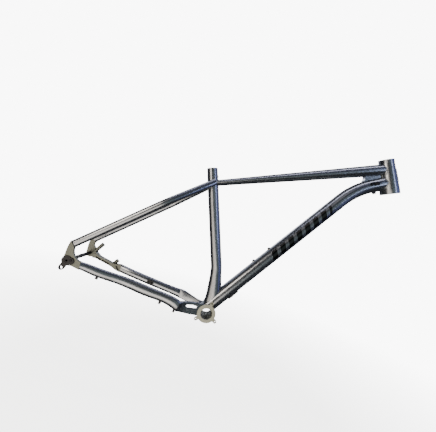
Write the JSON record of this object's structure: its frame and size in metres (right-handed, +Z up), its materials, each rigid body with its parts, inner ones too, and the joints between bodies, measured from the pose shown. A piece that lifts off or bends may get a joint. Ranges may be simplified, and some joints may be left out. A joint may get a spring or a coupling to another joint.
{
  "type": "bicycle frame",
  "caption": "Hardtail mountain bike frame with a tapered head tube, a curved seat tube, a slotted yoke, brake posts, a bolt-on hanger and its rear thru-axle.",
  "frame": {"origin": "centre of the bottom bracket shell", "axes": "+X forward, +Y to the rider's left, +Z up"},
  "size_m": [0.9672, 0.181, 0.6803],
  "materials": {
    "frame_coat": "gloss",
    "machined": "satin",
    "dropout_coat": "satin",
    "black_metal": "satin",
    "black_steel": "satin",
    "bare_steel": "satin",
    "black_plastic": "matte",
    "black_rubber": "matte"
  },
  "bodies": {
    "frame": {"head_tube": "frame_coat", "top_tube": "frame_coat", "down_tube": "frame_coat", "seat_tube": "frame_coat", "head_gusset": "frame_coat", "seat_clamp_collar": "frame_coat", "bb_shell": "machined", "chain_guide_mount": "machined", "chainstay_yoke": "frame_coat", "chainstay_right": "frame_coat", "chainstay_left": "frame_coat", "seatstay_right": "frame_coat", "seatstay_left": "frame_coat", "dropout_right": "dropout_coat", "dropout_left": "dropout_coat", "derailleur_hanger": "black_metal", "hanger_bolt": "black_steel", "bottle_rivnuts": "bare_steel", "bottle_bolts": "black_steel", "down_tube_port": "black_metal", "down_tube_port_screw": "black_steel", "down_tube_grommet": "black_rubber", "chainstay_port": "black_rubber", "head_badge": "machined", "down_tube_guides": "black_plastic", "down_tube_guide_screw": "black_steel", "chainstay_cable_guides": "black_plastic"},
    "washer": {"axle_washer": "black_metal"},
    "axle": {"thru_axle": "black_metal"}
  },
  "joints": [
    {"name": "axle_slide", "type": "slide", "parent": "frame", "child": "washer", "axis": [0, 1, 0], "range_m": [0, 0.18]},
    {"name": "axle_turn", "type": "hinge", "parent": "washer", "child": "axle", "pos_m": [-0.43373, 0.08, 0.061], "axis": [0, 1, 0], "continuous": true}
  ]
}
